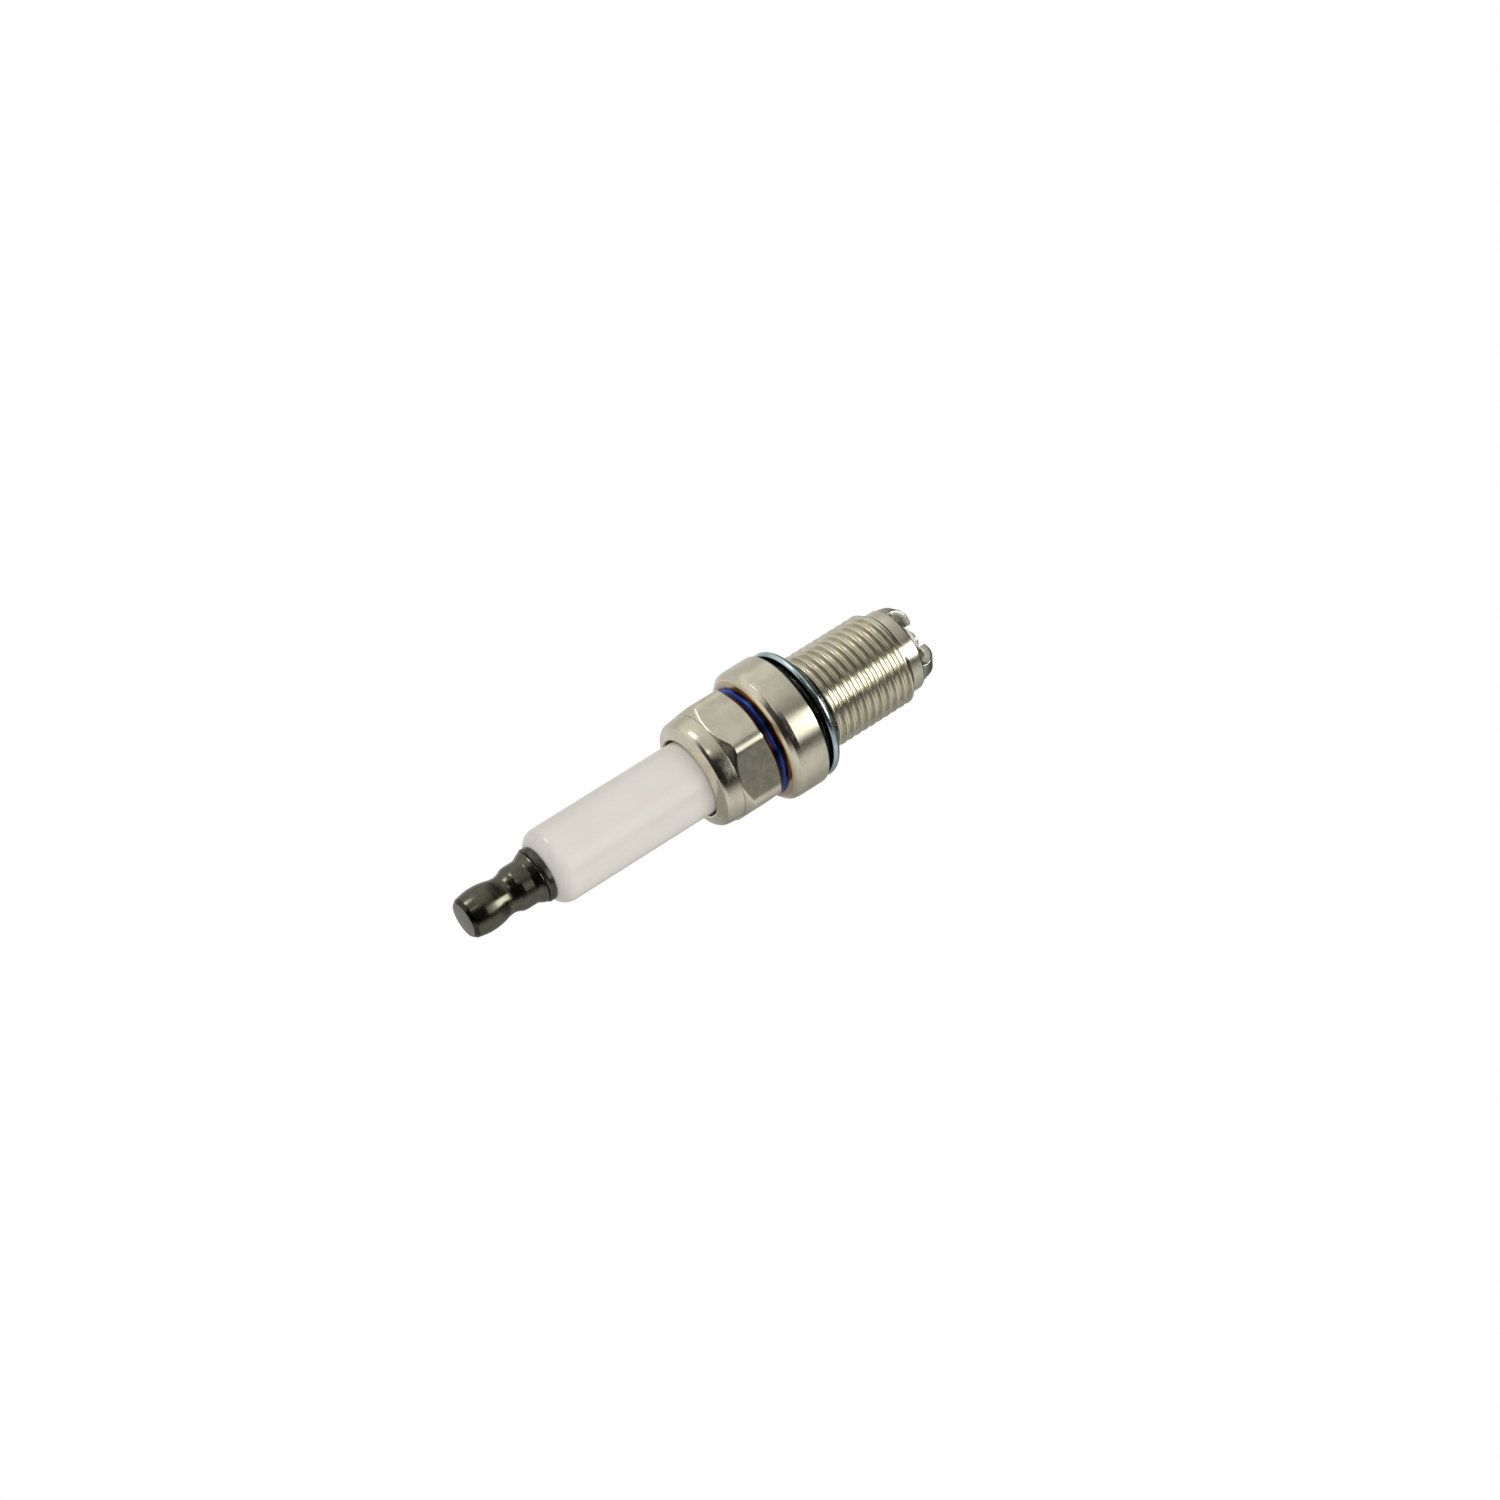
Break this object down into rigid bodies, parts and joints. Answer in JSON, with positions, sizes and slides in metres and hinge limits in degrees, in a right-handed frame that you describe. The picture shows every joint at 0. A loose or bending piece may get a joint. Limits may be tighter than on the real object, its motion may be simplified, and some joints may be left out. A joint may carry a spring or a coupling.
{
  "type": "spark plug",
  "caption": "Spark plug with a threaded steel shell, hexagon, ceramic insulator, screw-on terminal, loose gasket and three side ground electrodes.",
  "frame": {"origin": "on the plug's axis, at the shell's gasket seat face", "axes": "+Z along the plug's axis, towards the terminal; the hexagon has flats facing +X and -X"},
  "size_m": [0.0194, 0.0194, 0.0749],
  "materials": {
    "nickel_plate": "bright nickel plate",
    "glazed_alumina": "gloss",
    "dark_plate": "dark gloss plate",
    "stud_steel": "satin",
    "conductive_glass": "fired copper glass",
    "carbon_glass": "fired carbon glass",
    "nickel_alloy": "satin",
    "copper": "drawn",
    "washer_steel": "copper plated",
    "ring_steel": "drawn wire",
    "talc": "pressed powder",
    "zinc_plate": "blue zinc plate"
  },
  "bodies": {
    "plug": {"shell": "nickel_plate", "insulator": "glazed_alumina", "terminal_stud": "stud_steel", "upper_glass_seal": "conductive_glass", "resistor": "carbon_glass", "lower_glass_seal": "conductive_glass", "centre_electrode": "nickel_alloy", "centre_electrode_core": "copper", "inner_seat_washer": "washer_steel", "lower_packing_ring": "ring_steel", "talc_fill": "talc", "upper_packing_ring": "ring_steel", "ground_electrode_1": "nickel_alloy", "ground_electrode_2": "nickel_alloy", "ground_electrode_3": "nickel_alloy"},
    "terminal_nut": {"terminal_nut": "dark_plate"},
    "gasket": {"gasket": "zinc_plate"}
  },
  "joints": [
    {"name": "terminal_nut_unscrew", "type": "slide", "parent": "plug", "child": "terminal_nut", "axis": [0, 0, 1], "range_m": [0, 0.0085]},
    {"name": "gasket_tilt", "type": "hinge", "parent": "plug", "child": "gasket", "pos_m": [0, 0.0088, -0.00063], "axis": [-1, 0, 0], "range_deg": [-3, 2.4]}
  ]
}
